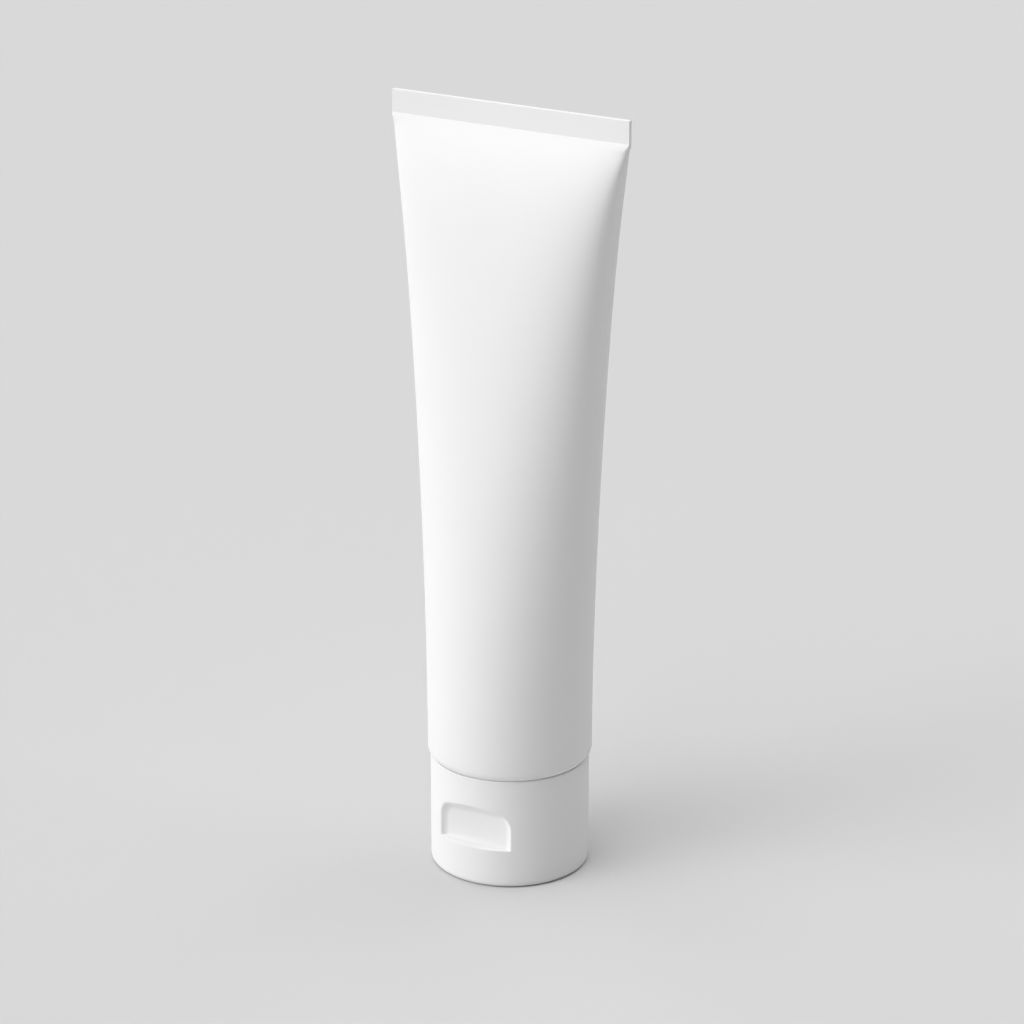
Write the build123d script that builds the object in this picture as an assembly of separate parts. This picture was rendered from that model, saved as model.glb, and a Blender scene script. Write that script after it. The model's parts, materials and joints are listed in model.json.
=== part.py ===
"""Squeeze tube of denture adhesive cream that stands on its flip-top cap.

Millimetres. The origin is the centre of the face that the tube stands on and +Z points up.
The thumb recess faces -Y, the living hinge of the lid is at +Y, and the seal line runs along X.
"""
from build123d import *
from math import cos, log, pi, radians, sin, sqrt, tan
import os

# Sleeve: one extruded plastic tube, round at its lower end and pressed flat at its upper end
SLEEVE_DIAMETER = 30.0
SLEEVE_WALL = 0.42
SLEEVE_HEIGHT = 120.8         # from the top of the cap to the end of the seal
SEAL_HEIGHT = 4.1
GENTLE_SHARE = 0.70           # part of the flattening that is spread over the whole sleeve
GENTLE_POWER = 1.80
SHARP_POWER = 8.4             # the rest of it gathers close below the seal
SLEEVE_SECTIONS = 14          # even steps from the round band to the seal
WELD_WIDTH = 2.2              # how far the sleeve's end reaches in over the shoulder

# Tube head: the shoulder and neck that the sleeve is welded to
SHOULDER_EDGE_RADIUS = 2.0
SHOULDER_SLOPE = 35.0         # degrees below level
SHOULDER_WALL = 1.2
HEAD_BAND = 1.6               # upright band that keeps the sleeve's end round
NECK_DIAMETER = 12.0
NECK_WALL = 1.5
BEAD_PROUD = 0.35
BEAD_HEIGHT = 1.0
BEAD_FROM_MOUTH = 2.4

# Cap: base and lid, moulded together with their hinge
CAP_HEIGHT = 21.1
CAP_STEP = 0.5                # the cap is this much smaller than the sleeve, on the radius
CAP_WALL = 1.2
CAP_EDGE_RADIUS = 0.15
RIM_LEAD_IN = 1.1             # chamfer inside the upper edge, which clears the shoulder
LID_HEIGHT = 7.3
LID_FLOOR = 1.3
LID_EDGE_RADIUS = 0.7
DECK_THICKNESS = 1.3

# Thumb recess in the front of the base, above the lid
RECESS_DEPTH = 2.55
RECESS_FLOOR_WIDTH = 12.54
RECESS_FLOOR_HEIGHT = 6.6
RECESS_SIDE_FLARE = 68.0      # degrees that a side leans out from straight in
RECESS_TOP_FLARE = 23.0
RECESS_CORNER_RADIUS = 1.5
RECESS_CORNER_GROWTH = 1.2    # gain in corner radius for each millimetre towards the front
RECESS_FLOOR_FILLET = 0.4
LEDGE_OVERLAP = 0.5           # how far the lid's thumb ledge reaches in past the recess floor

# Dispensing nozzle, the plug that closes it and the ring round it
ORIFICE_DIAMETER = 3.6
NOZZLE_LENGTH = 2.9
NOZZLE_ROOT_DIAMETER = 6.6
NOZZLE_TIP_DIAMETER = 5.6
NOZZLE_EDGE_RADIUS = 0.35
PLUG_REACH = 1.5              # length of plug inside the orifice
PLUG_LAND = 0.2               # straight stretch of plug just outside the orifice
PLUG_TAPER = 0.3              # loss of radius over that reach, so that the plug can swing out
PLUG_FOOT_DIAMETER = 4.6
PLUG_BORE_DIAMETER = 1.6
PLUG_BORE_DEPTH = 3.2
RING_GAP = 0.9
RING_WALL = 0.7
RING_OVERLAP = 0.4            # how far the ring stands up past the nozzle's tip

# Rim under the base that keys into the lid, with the bead that the lid snaps over
RIM_DEPTH = 1.2
RIM_WALL = 0.9
SNAP_PROUD = 0.15
SNAP_HEIGHT = 0.5
SNAP_WIDTH = 5.0

# Collar, ribs and seal ring inside the base, which hold the cap on the neck
COLLAR_WALL = 1.2
RIB_COUNT = 6
RIB_THICKNESS = 0.8
RIB_STEP = 1.2                # how far the ribs stop below the collar's end
SEAL_RING_WALL = 0.7
SEAL_RING_HEIGHT = 1.4

# Living hinge: two film straps and a broader spring strap between them, on a flat back
HINGE_AXIS_INSET = 0.9        # from the round of the cap in to the hinge line
STRAP_THICKNESS = 0.4
HINGE_LINE_THICKNESS = 0.22
HINGE_LINE_WIDTH = 0.5
HINGE_RELIEF = 0.5
FILM_STRAP_WIDTH = 1.8
FILM_STRAP_LENGTH = 3.4
SPRING_STRAP_WIDTH = 3.6
SPRING_STRAP_LENGTH = 6.4
STRAP_SPACING = 3.6

# Cream inside the tube
FILL_HEIGHT = 124.0           # level of the cream above the standing face

# Clearances
PARTING_GAP = 0.05
SEAM_GAP = 0.2
NECK_CLEARANCE = 0.05
PLUG_CLEARANCE = 0.05
RIM_CLEARANCE = 0.15
LEDGE_CLEARANCE = 0.3
LID_CLEARANCE = 1.0           # height left free above the lid when it is folded right back
SEAT_GAP = 0.2                # neck mouth to deck
NECK_ROOT_GAP = 1.0           # collar's end to the root of the neck
CREAM_CLEARANCE = 0.1
BREAKOUT = 1.0                # how far a cutter runs past the face that it opens

# Sizes worked out from the ones above
SLEEVE_RADIUS = SLEEVE_DIAMETER / 2
CAP_RADIUS = SLEEVE_RADIUS - CAP_STEP
CAP_BORE_RADIUS = CAP_RADIUS - CAP_WALL
DECK_BOTTOM = LID_HEIGHT + PARTING_GAP
DECK_TOP = DECK_BOTTOM + DECK_THICKNESS
HINGE_Z = LID_HEIGHT + PARTING_GAP / 2
HINGE_Y = CAP_RADIUS - HINGE_AXIS_INSET
BACK_FLAT_Y = HINGE_Y - STRAP_THICKNESS    # the straps fold face to face about their outer face
BACK_WALL_Y = BACK_FLAT_Y - CAP_WALL
BACK_FLAT_TOP = HINGE_Z + LID_HEIGHT + LID_CLEARANCE
RECESS_FLOOR_Y = CAP_RADIUS - RECESS_DEPTH
LEDGE_BACK_Y = RECESS_FLOOR_Y - LEDGE_OVERLAP
NOZZLE_TIP_Z = DECK_BOTTOM - NOZZLE_LENGTH
ORIFICE_RADIUS = ORIFICE_DIAMETER / 2
NECK_RADIUS = NECK_DIAMETER / 2
NECK_BORE_RADIUS = NECK_RADIUS - NECK_WALL
MOUTH_Z = DECK_TOP + SEAT_GAP
BEAD_Z = MOUTH_Z + BEAD_FROM_MOUTH
SLEEVE_TOP = CAP_HEIGHT + SLEEVE_HEIGHT
SEAL_BOTTOM = SLEEVE_TOP - SEAL_HEIGHT
EDGE_TOP = CAP_HEIGHT + SEAM_GAP + sqrt(SHOULDER_EDGE_RADIUS**2 - (SHOULDER_EDGE_RADIUS - CAP_STEP)**2)
BAND_TOP = EDGE_TOP + HEAD_BAND


def disc(radius, bottom, top):
    """Upright round slab on the tube's axis."""
    return Pos(0, 0, bottom) * Cylinder(radius, top - bottom, align=(Align.CENTER, Align.CENTER, Align.MIN))


def block(x_range, y_range, z_range):
    """Box between three pairs of limits."""
    spans = [high - low for low, high in (x_range, y_range, z_range)]
    corner = Pos(x_range[0], y_range[0], z_range[0])
    return corner * Box(*spans, align=(Align.MIN, Align.MIN, Align.MIN))


def turned(*points):
    """Solid of revolution about the tube's axis from (radius, height) corners."""
    outline = Polyline(*[(radius, 0, height) for radius, height in points], close=True)
    return revolve(make_face(outline), Axis.Z)


def half_depth(level):
    """Half the sleeve's depth at a height: a gentle fall all the way plus a sharp one near the seal."""
    share = (level - BAND_TOP) / (SEAL_BOTTOM - BAND_TOP)
    fall = GENTLE_SHARE * share**GENTLE_POWER + (1 - GENTLE_SHARE) * share**SHARP_POWER
    return SLEEVE_RADIUS - (SLEEVE_RADIUS - SLEEVE_WALL) * fall


def half_width(depth):
    """Half the width that goes with a half depth, because the sleeve keeps its girth as it flattens."""
    power = log(2) / log(pi / 2)
    return ((pi * SLEEVE_RADIUS / 2)**power - depth**power)**(1 / power)


def sleeve_loft(inset, top):
    """The sleeve's round-to-flat form, drawn in by inset, from the head's band up to a height."""
    faces = [Pos(0, 0, BAND_TOP) * Circle(SLEEVE_RADIUS - inset)]
    for index in range(1, SLEEVE_SECTIONS):
        level = BAND_TOP + (top - BAND_TOP) * index / (SLEEVE_SECTIONS - 1)
        depth = half_depth(level)
        section = Ellipse(half_width(depth) - inset, depth - inset)
        faces.append(Pos(0, 0, level) * section)
    return loft(faces)


def edge_arc(inset):
    """Shoulder's edge at a depth below the sleeve's outside: an arc, then the slope to its weld end."""
    centre_r = SLEEVE_RADIUS - SHOULDER_EDGE_RADIUS
    radius = SHOULDER_EDGE_RADIUS - inset
    turn = 90 - SHOULDER_SLOPE
    arc_end = (centre_r + radius * cos(radians(turn)), EDGE_TOP - radius * sin(radians(turn)))
    middle = (centre_r + radius * cos(radians(turn / 2)), EDGE_TOP - radius * sin(radians(turn / 2)))
    start = (SLEEVE_RADIUS - inset, EDGE_TOP)
    return start, middle, arc_end


def down_slope(point, reach):
    """Point reached by going down the shoulder's slope towards the neck."""
    radius, height = point
    return radius - reach, height - reach * tan(radians(SHOULDER_SLOPE))


def weld_end(inset):
    """End of the sleeve's turned-in edge at a depth below its outside."""
    outer_end = down_slope(edge_arc(0)[2], WELD_WIDTH)
    lean = radians(SHOULDER_SLOPE)
    return outer_end[0] - inset * sin(lean), outer_end[1] + inset * cos(lean)


def neck_root():
    """Where the shoulder's outer slope meets the neck."""
    weld_outer = weld_end(0)
    return down_slope(weld_outer, weld_outer[0] - NECK_RADIUS)


def to_plane(point):
    """A (radius, height) pair as a point of the XZ half plane."""
    return point[0], 0, point[1]


def tube_sleeve():
    """Thin sleeve: turned in over the shoulder below, round, then flattened up to the welded seal."""
    outside = edge_arc(0)
    inside = edge_arc(SLEEVE_WALL)
    outline = [
        ThreePointArc(*[to_plane(point) for point in outside]),
        Line(to_plane(outside[2]), to_plane(weld_end(0))),
        Line(to_plane(weld_end(0)), to_plane(weld_end(SLEEVE_WALL))),
        Line(to_plane(weld_end(SLEEVE_WALL)), to_plane(inside[2])),
        ThreePointArc(*[to_plane(point) for point in reversed(inside)]),
        Line(to_plane(inside[0]), (inside[0][0], 0, BAND_TOP)),
        Line((inside[0][0], 0, BAND_TOP), (outside[0][0], 0, BAND_TOP)),
        Line((outside[0][0], 0, BAND_TOP), to_plane(outside[0])),
    ]
    edge = revolve(make_face(Wire(outline)), Axis.Z)
    cavity_top = SEAL_BOTTOM - 2 * SLEEVE_WALL
    wall = sleeve_loft(0, SEAL_BOTTOM) - sleeve_loft(SLEEVE_WALL, cavity_top)
    seal_width = half_width(SLEEVE_WALL)
    seal = block((-seal_width, seal_width), (-SLEEVE_WALL, SLEEVE_WALL), (SEAL_BOTTOM, SLEEVE_TOP))
    return edge + wall + seal


def tube_head():
    """Moulded shoulder and neck, with a step for the sleeve's weld and a bead for the cap."""
    start, middle, arc_end = edge_arc(SLEEVE_WALL)
    inner_start, inner_middle, inner_end = edge_arc(SLEEVE_WALL + SHOULDER_WALL)
    inner_root = down_slope(inner_end, inner_end[0] - NECK_BORE_RADIUS)
    outline = [
        Line((start[0], 0, BAND_TOP), to_plane(start)),
        ThreePointArc(to_plane(start), to_plane(middle), to_plane(arc_end)),
        Line(to_plane(arc_end), to_plane(weld_end(SLEEVE_WALL))),
        Line(to_plane(weld_end(SLEEVE_WALL)), to_plane(weld_end(0))),
        Line(to_plane(weld_end(0)), to_plane(neck_root())),
        Line(to_plane(neck_root()), (NECK_RADIUS, 0, MOUTH_Z)),
        Line((NECK_RADIUS, 0, MOUTH_Z), (NECK_BORE_RADIUS, 0, MOUTH_Z)),
        Line((NECK_BORE_RADIUS, 0, MOUTH_Z), to_plane(inner_root)),
        Line(to_plane(inner_root), to_plane(inner_end)),
        ThreePointArc(to_plane(inner_end), to_plane(inner_middle), to_plane(inner_start)),
        Line(to_plane(inner_start), (inner_start[0], 0, BAND_TOP)),
        Line((inner_start[0], 0, BAND_TOP), (start[0], 0, BAND_TOP)),
    ]
    head = revolve(make_face(Wire(outline)), Axis.Z)
    bead = turned(
        (NECK_BORE_RADIUS + NECK_WALL / 2, BEAD_Z),
        (NECK_RADIUS, BEAD_Z),
        (NECK_RADIUS + BEAD_PROUD, BEAD_Z + BEAD_HEIGHT / 2),
        (NECK_RADIUS, BEAD_Z + BEAD_HEIGHT),
        (NECK_BORE_RADIUS + NECK_WALL / 2, BEAD_Z + BEAD_HEIGHT),
    )
    return head + bead


def adhesive_cream():
    """Cream that fills the neck, the shoulder and the sleeve up to its level."""
    depth = SLEEVE_WALL + CREAM_CLEARANCE
    head_inset = SLEEVE_WALL + SHOULDER_WALL + CREAM_CLEARANCE
    start, middle, arc_end = edge_arc(head_inset)
    bottom = DECK_TOP + SEAL_RING_HEIGHT + CREAM_CLEARANCE
    neck_radius = NECK_BORE_RADIUS - CREAM_CLEARANCE
    throat = down_slope(arc_end, arc_end[0] - neck_radius)
    outline = [
        Line((0, 0, BAND_TOP), (start[0], 0, BAND_TOP)),
        Line((start[0], 0, BAND_TOP), to_plane(start)),
        ThreePointArc(to_plane(start), to_plane(middle), to_plane(arc_end)),
        Line(to_plane(arc_end), to_plane(throat)),
        Line(to_plane(throat), (neck_radius, 0, bottom)),
        Line((neck_radius, 0, bottom), (0, 0, bottom)),
        Line((0, 0, bottom), (0, 0, BAND_TOP)),
    ]
    lower = revolve(make_face(Wire(outline)), Axis.Z)
    reach = SLEEVE_DIAMETER
    keep = block((-reach, reach), (-reach, reach), (BAND_TOP + CREAM_CLEARANCE, FILL_HEIGHT))
    upper = sleeve_loft(depth, SEAL_BOTTOM - 2 * SLEEVE_WALL) & keep
    joining = disc(start[0], BAND_TOP, BAND_TOP + CREAM_CLEARANCE)
    return lower + joining + upper


def recess_outline(depth, wall):
    """Outline of the thumb recess on an upright plane, depth in front of its floor.

    A wall above zero gives the outline of the material behind the recess instead.
    """
    side_growth = wall * tan(radians(90 - RECESS_SIDE_FLARE) / 2)
    top_growth = wall * tan(radians(90 - RECESS_TOP_FLARE) / 2)
    half = RECESS_FLOOR_WIDTH / 2 + side_growth + depth * tan(radians(RECESS_SIDE_FLARE))
    height = RECESS_FLOOR_HEIGHT + top_growth + depth * tan(radians(RECESS_TOP_FLARE))
    corner = RECESS_CORNER_RADIUS + wall / 2 + RECESS_CORNER_GROWTH * depth
    y = -(RECESS_FLOOR_Y - wall + depth)
    bottom = DECK_BOTTOM
    top = bottom + height
    slack = corner * (1 - cos(pi / 4))
    left = [(-half, y, bottom), (-half, y, top - corner), (-half + corner, y, top)]
    right = [(half - corner, y, top), (half, y, top - corner), (half, y, bottom)]
    return make_face(Wire([
        Line(left[0], left[1]),
        ThreePointArc(left[1], (-half + slack, y, top - slack), left[2]),
        Line(left[2], right[0]),
        ThreePointArc(right[0], (half - slack, y, top - slack), right[1]),
        Line(right[1], right[2]),
        Line(right[2], left[0]),
    ]))


def recess_block(wall):
    """Flared block that cuts the recess, or with a wall the block of material behind it."""
    front = RECESS_DEPTH + wall + BREAKOUT
    return loft([recess_outline(0, wall), recess_outline(front, wall)], ruled=True)


def recess_cutter():
    """The recess block, with a small fillet round its floor at the sides and top."""
    cutter = recess_block(0)
    floor = cutter.faces().sort_by(Axis.Y)[-1]
    floor_edges = [edge for edge in floor.edges() if edge.center().Z > DECK_BOTTOM + RECESS_FLOOR_FILLET]
    return fillet(floor_edges, RECESS_FLOOR_FILLET)


def cap_plan(inset):
    """Plan of the space inside the cap: a circle cut by the thumb ledge in front and the flat back."""
    front = -LEDGE_BACK_Y + inset
    back = BACK_WALL_Y - inset
    width = 2 * CAP_RADIUS
    slot = Pos(0, (front + back) / 2) * Rectangle(width, back - front)
    return Circle(CAP_BORE_RADIUS - inset) & slot


def back_flat(bottom, top):
    """Block that planes the back of the cap flat for the hinge."""
    reach = CAP_RADIUS + BREAKOUT
    return block((-reach, reach), (BACK_FLAT_Y, reach), (bottom, top))


def hinge_relief():
    """Groove across the flat back that gives the hinge line room to bend."""
    reach = CAP_RADIUS
    groove = Polyline(
        (-reach, BACK_FLAT_Y - HINGE_RELIEF, HINGE_Z),
        (-reach, BACK_FLAT_Y + BREAKOUT, HINGE_Z + HINGE_RELIEF + BREAKOUT),
        (-reach, BACK_FLAT_Y + BREAKOUT, HINGE_Z - HINGE_RELIEF - BREAKOUT),
        close=True,
    )
    return extrude(make_face(groove), 2 * reach, dir=(1, 0, 0))


def cap_base_shell():
    """Skirt and deck, with the thumb recess, the flat back and the chamfer that meets the shoulder."""
    shell = disc(CAP_RADIUS, DECK_BOTTOM, CAP_HEIGHT)
    rim_edge = shell.edges().filter_by(GeomType.CIRCLE).sort_by(Axis.Z)[-1]
    shell = fillet(rim_edge, CAP_EDGE_RADIUS)
    land_top = BACK_FLAT_TOP + CAP_WALL
    back_land = block((-CAP_RADIUS, CAP_RADIUS), (BACK_WALL_Y, CAP_RADIUS), (DECK_TOP, land_top))
    cavity = disc(CAP_BORE_RADIUS, DECK_TOP, CAP_HEIGHT + BREAKOUT) - recess_block(CAP_WALL) - back_land
    rim_radius = CAP_RADIUS - CAP_EDGE_RADIUS
    lead_in = turned(
        (0, CAP_HEIGHT - RIM_LEAD_IN),
        (rim_radius - RIM_LEAD_IN, CAP_HEIGHT - RIM_LEAD_IN),
        (rim_radius + BREAKOUT, CAP_HEIGHT + BREAKOUT),
        (0, CAP_HEIGHT + BREAKOUT),
    )
    flat = back_flat(DECK_BOTTOM - BREAKOUT, BACK_FLAT_TOP)
    return shell - cavity - lead_in - recess_cutter() - flat - hinge_relief()


def collar():
    """Collar that snaps over the neck's bead, joined to the skirt by upright ribs."""
    inner = NECK_RADIUS + NECK_CLEARANCE
    outer = inner + COLLAR_WALL
    top = neck_root()[1] - NECK_ROOT_GAP
    sleeve = disc(outer, DECK_TOP, top) - disc(inner, DECK_TOP, top)
    groove = turned(
        (0, BEAD_Z - NECK_CLEARANCE),
        (inner, BEAD_Z - NECK_CLEARANCE),
        (inner + BEAD_PROUD, BEAD_Z + BEAD_HEIGHT / 2),
        (inner, BEAD_Z + BEAD_HEIGHT + NECK_CLEARANCE),
        (0, BEAD_Z + BEAD_HEIGHT + NECK_CLEARANCE),
    )
    middle = (inner + outer) / 2
    rib = block((middle, CAP_BORE_RADIUS + CAP_WALL / 2), (-RIB_THICKNESS / 2, RIB_THICKNESS / 2),
                (DECK_TOP, top - RIB_STEP))
    ribs = [Rot(0, 0, 360 / RIB_COUNT * index) * rib for index in range(RIB_COUNT)]
    return sleeve - groove + ribs


def nozzle():
    """Tapered spout under the deck, rounded at its tip, before its orifice is made."""
    spout = turned(
        (0, DECK_TOP - DECK_THICKNESS / 2),
        (NOZZLE_ROOT_DIAMETER / 2, DECK_TOP - DECK_THICKNESS / 2),
        (NOZZLE_ROOT_DIAMETER / 2, DECK_BOTTOM),
        (NOZZLE_TIP_DIAMETER / 2, NOZZLE_TIP_Z),
        (0, NOZZLE_TIP_Z),
    )
    tip_edge = spout.edges().filter_by(GeomType.CIRCLE).sort_by(Axis.Z)[0]
    return fillet(tip_edge, NOZZLE_EDGE_RADIUS)


def key_rim():
    """Rim under the deck that enters the lid, with the snap bead on its front stretch."""
    plan = cap_plan(RIM_CLEARANCE) - cap_plan(RIM_CLEARANCE + RIM_WALL)
    rim = Pos(0, 0, DECK_BOTTOM - RIM_DEPTH) * extrude(plan, RIM_DEPTH)
    front = -LEDGE_BACK_Y + RIM_CLEARANCE + LEDGE_CLEARANCE / 2
    rim -= block((-CAP_RADIUS, CAP_RADIUS), (-CAP_RADIUS, front), (0, DECK_BOTTOM))
    low = DECK_BOTTOM - RIM_DEPTH
    bead_outline = Polyline(
        (-SNAP_WIDTH / 2, front, low),
        (-SNAP_WIDTH / 2, front - SNAP_PROUD, low + SNAP_HEIGHT / 2),
        (-SNAP_WIDTH / 2, front, low + SNAP_HEIGHT),
        close=True,
    )
    bead = extrude(make_face(bead_outline), SNAP_WIDTH, dir=(1, 0, 0))
    return rim + bead


def cap_base():
    """Upper shell of the cap as it stands: holds the neck, carries the nozzle and the lid's hinge."""
    seal_radius = NECK_BORE_RADIUS - NECK_CLEARANCE
    seal_top = DECK_TOP + SEAL_RING_HEIGHT
    seal_ring = disc(seal_radius, DECK_TOP, seal_top) - disc(seal_radius - SEAL_RING_WALL, DECK_TOP, seal_top)
    base = cap_base_shell() + collar() + nozzle() + seal_ring + key_rim()
    base -= disc(ORIFICE_RADIUS, NOZZLE_TIP_Z - BREAKOUT, DECK_TOP + BREAKOUT)
    return base


def plug():
    """Hollow plug that closes the orifice, tapered so that it can swing out of it."""
    root = ORIFICE_RADIUS - PLUG_CLEARANCE
    tip_z = NOZZLE_TIP_Z + PLUG_REACH
    pin = turned(
        (0, LID_FLOOR / 2),
        (PLUG_FOOT_DIAMETER / 2, LID_FLOOR / 2),
        (PLUG_FOOT_DIAMETER / 2, LID_FLOOR),
        (root, NOZZLE_TIP_Z - PLUG_LAND),
        (root, NOZZLE_TIP_Z),
        (root - PLUG_TAPER, tip_z),
        (0, tip_z),
    )
    return pin - disc(PLUG_BORE_DIAMETER / 2, tip_z - PLUG_BORE_DEPTH, tip_z + BREAKOUT)


def cap_lid():
    """Flip-top lid that the tube stands on: thumb ledge in front, flat back, plug and ring inside."""
    lid = disc(CAP_RADIUS, 0, LID_HEIGHT)
    foot_edge = lid.edges().filter_by(GeomType.CIRCLE).sort_by(Axis.Z)[0]
    lid = fillet(foot_edge, LID_EDGE_RADIUS)
    lid -= Pos(0, 0, LID_FLOOR) * extrude(cap_plan(0), LID_HEIGHT)
    ring_inner = NOZZLE_TIP_DIAMETER / 2 + RING_GAP
    ring_top = NOZZLE_TIP_Z + RING_OVERLAP
    ring = disc(ring_inner + RING_WALL, LID_FLOOR, ring_top) - disc(ring_inner, LID_FLOOR, ring_top)
    lid += ring + plug()
    return lid - back_flat(-BREAKOUT, LID_HEIGHT + BREAKOUT) - hinge_relief()


def strap(width, length):
    """One hinge strap on the flat back, thinned from the inside along the hinge line."""
    low = HINGE_Z - length / 2
    high = HINGE_Z + length / 2
    outer = BACK_FLAT_Y + STRAP_THICKNESS
    thin = outer - HINGE_LINE_THICKNESS
    outline = Polyline(
        (0, BACK_FLAT_Y, low),
        (0, outer, low),
        (0, outer, high),
        (0, BACK_FLAT_Y, high),
        (0, BACK_FLAT_Y, HINGE_Z + HINGE_LINE_WIDTH),
        (0, thin, HINGE_Z + HINGE_LINE_WIDTH / 2),
        (0, thin, HINGE_Z - HINGE_LINE_WIDTH / 2),
        (0, BACK_FLAT_Y, HINGE_Z - HINGE_LINE_WIDTH),
        close=True,
    )
    return extrude(make_face(outline), width / 2, both=True, dir=(1, 0, 0))


def cap_hinge():
    """The three straps that join lid and base."""
    film = strap(FILM_STRAP_WIDTH, FILM_STRAP_LENGTH)
    sides = [Pos(side * STRAP_SPACING, 0, 0) * film for side in (-1, 1)]
    return Compound(children=[strap(SPRING_STRAP_WIDTH, SPRING_STRAP_LENGTH), *sides])


PIECES = {
    "tube_sleeve": tube_sleeve,
    "tube_head": tube_head,
    "adhesive_cream": adhesive_cream,
    "cap_base": cap_base,
    "cap_lid": cap_lid,
    "cap_hinge": cap_hinge,
}

os.makedirs("parts", exist_ok=True)
for name, make_piece in PIECES.items():
    export_step(make_piece(), f"parts/{name}.step")
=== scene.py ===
# %% [markdown]
# # A squeeze tube that stands on its flip-top cap
#
# The real object is a white polyethylene sleeve, round below and pressed flat and welded above, on a matt
# polypropylene cap whose lower shell flips open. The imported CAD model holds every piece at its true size.
# This lesson keeps those sizes and gives the pieces that show a smooth skin, a finish, and the soft light
# that plain white plastic needs before its form can be read at all.

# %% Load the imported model
import json
import math

import bpy
import numpy as np
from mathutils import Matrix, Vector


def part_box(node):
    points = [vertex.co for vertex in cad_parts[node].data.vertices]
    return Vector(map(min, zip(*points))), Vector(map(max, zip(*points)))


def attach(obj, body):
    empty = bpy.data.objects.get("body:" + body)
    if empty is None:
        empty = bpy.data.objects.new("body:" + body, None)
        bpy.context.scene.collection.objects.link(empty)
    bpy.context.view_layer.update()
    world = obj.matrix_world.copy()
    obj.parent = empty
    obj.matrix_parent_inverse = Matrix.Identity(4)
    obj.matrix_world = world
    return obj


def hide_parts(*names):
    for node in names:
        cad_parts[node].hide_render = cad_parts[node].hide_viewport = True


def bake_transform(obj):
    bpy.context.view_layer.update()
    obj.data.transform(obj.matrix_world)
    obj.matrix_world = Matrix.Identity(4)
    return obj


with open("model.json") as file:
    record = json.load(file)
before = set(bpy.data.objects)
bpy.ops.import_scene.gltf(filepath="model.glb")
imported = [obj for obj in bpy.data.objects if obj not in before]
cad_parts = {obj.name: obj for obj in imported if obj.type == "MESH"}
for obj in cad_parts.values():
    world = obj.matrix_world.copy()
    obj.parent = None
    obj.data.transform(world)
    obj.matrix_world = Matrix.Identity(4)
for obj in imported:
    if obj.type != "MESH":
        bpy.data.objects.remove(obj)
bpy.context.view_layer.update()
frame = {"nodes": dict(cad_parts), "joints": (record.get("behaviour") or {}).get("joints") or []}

# %% [markdown]
# ## Camera
#
# A camera can be set by eye, or worked out from the outlines of the object. Here the outlines of cap, seam,
# sleeve and seal were matched one by one, which gives a long lens that looks down from 20 degrees at a tube
# turned 30 degrees. The camera comes first, because every later judgement is made through it.

# %% Place the camera
AZIMUTH = math.radians(30.02)
ELEVATION = math.radians(20.06)
DISTANCE = 0.652
AIM_HEIGHT = 0.06733
AIM_ASIDE = 0.00038
FOCAL_LENGTH = 128.24
SENSOR_WIDTH = 36.0

away = np.array([
    math.sin(AZIMUTH) * math.cos(ELEVATION),
    -math.cos(AZIMUTH) * math.cos(ELEVATION),
    math.sin(ELEVATION),
])
aside = np.array([math.cos(AZIMUTH), math.sin(AZIMUTH), 0.0])
lens = bpy.data.cameras.new("camera")
lens.lens = FOCAL_LENGTH
lens.sensor_width = SENSOR_WIDTH
lens.clip_start = 0.01
lens.clip_end = 60.0
camera = bpy.data.objects.new("camera", lens)
camera.location = AIM_ASIDE * aside + np.array([0, 0, AIM_HEIGHT]) + DISTANCE * away
camera.rotation_euler = (math.pi / 2 - ELEVATION, 0, AZIMUTH)
bpy.context.scene.collection.objects.link(camera)
bpy.context.scene.camera = camera
print("camera at", [round(x, 4) for x in camera.location], "with a lens of", FOCAL_LENGTH, "mm")

# %% [markdown]
# ## From a grid of points to a mesh
#
# Each piece below is a surface worked out as one array of points, in rows and columns. Primitives and
# booleans would be quicker to type, but they leave long thin faces that shade badly, and on plain white
# plastic every such face shows. A grid has even faces everywhere and can be as fine as the piece needs.

# %% Mesh helper
MM = 0.001


def weld_grid(points, loop_rows=False):
    """Vertices and faces of a grid of points (rows, columns, 3) that closes round its columns.

    Neighbouring points are joined by quads. Points that fall together, as at a pole or along a weld, become
    one vertex, and a quad that loses a corner that way becomes a triangle. The sum of v0 . (v1 x v2) over the
    faces is six times the volume inside, so a negative sum means that they look inwards and are turned round.
    """
    rounded = np.round(points.reshape(-1, 3), 6) + 0.0
    vertices, ids = np.unique(rounded, axis=0, return_inverse=True)
    ids = ids.reshape(points.shape[:2])
    lower = ids if loop_rows else ids[:-1]
    upper = np.roll(ids, -1, axis=0) if loop_rows else ids[1:]
    quads = np.stack([lower, np.roll(lower, -1, 1), np.roll(upper, -1, 1), upper], axis=-1).reshape(-1, 4)
    repeated = quads == np.roll(quads, -1, axis=1)
    count = repeated.sum(axis=1)
    whole = quads[count == 0]
    corners = quads[count == 1]
    triangles = corners[~repeated[count == 1]].reshape(-1, 3)
    fans = np.concatenate([whole[:, :3], whole[:, [0, 2, 3]], triangles])
    a, b, c = (vertices[fans[:, k]] for k in range(3))
    if np.einsum("ij,ij->", a, np.cross(b, c)) < 0:
        whole, triangles = whole[:, ::-1], triangles[:, ::-1]
    return vertices, whole, triangles


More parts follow.
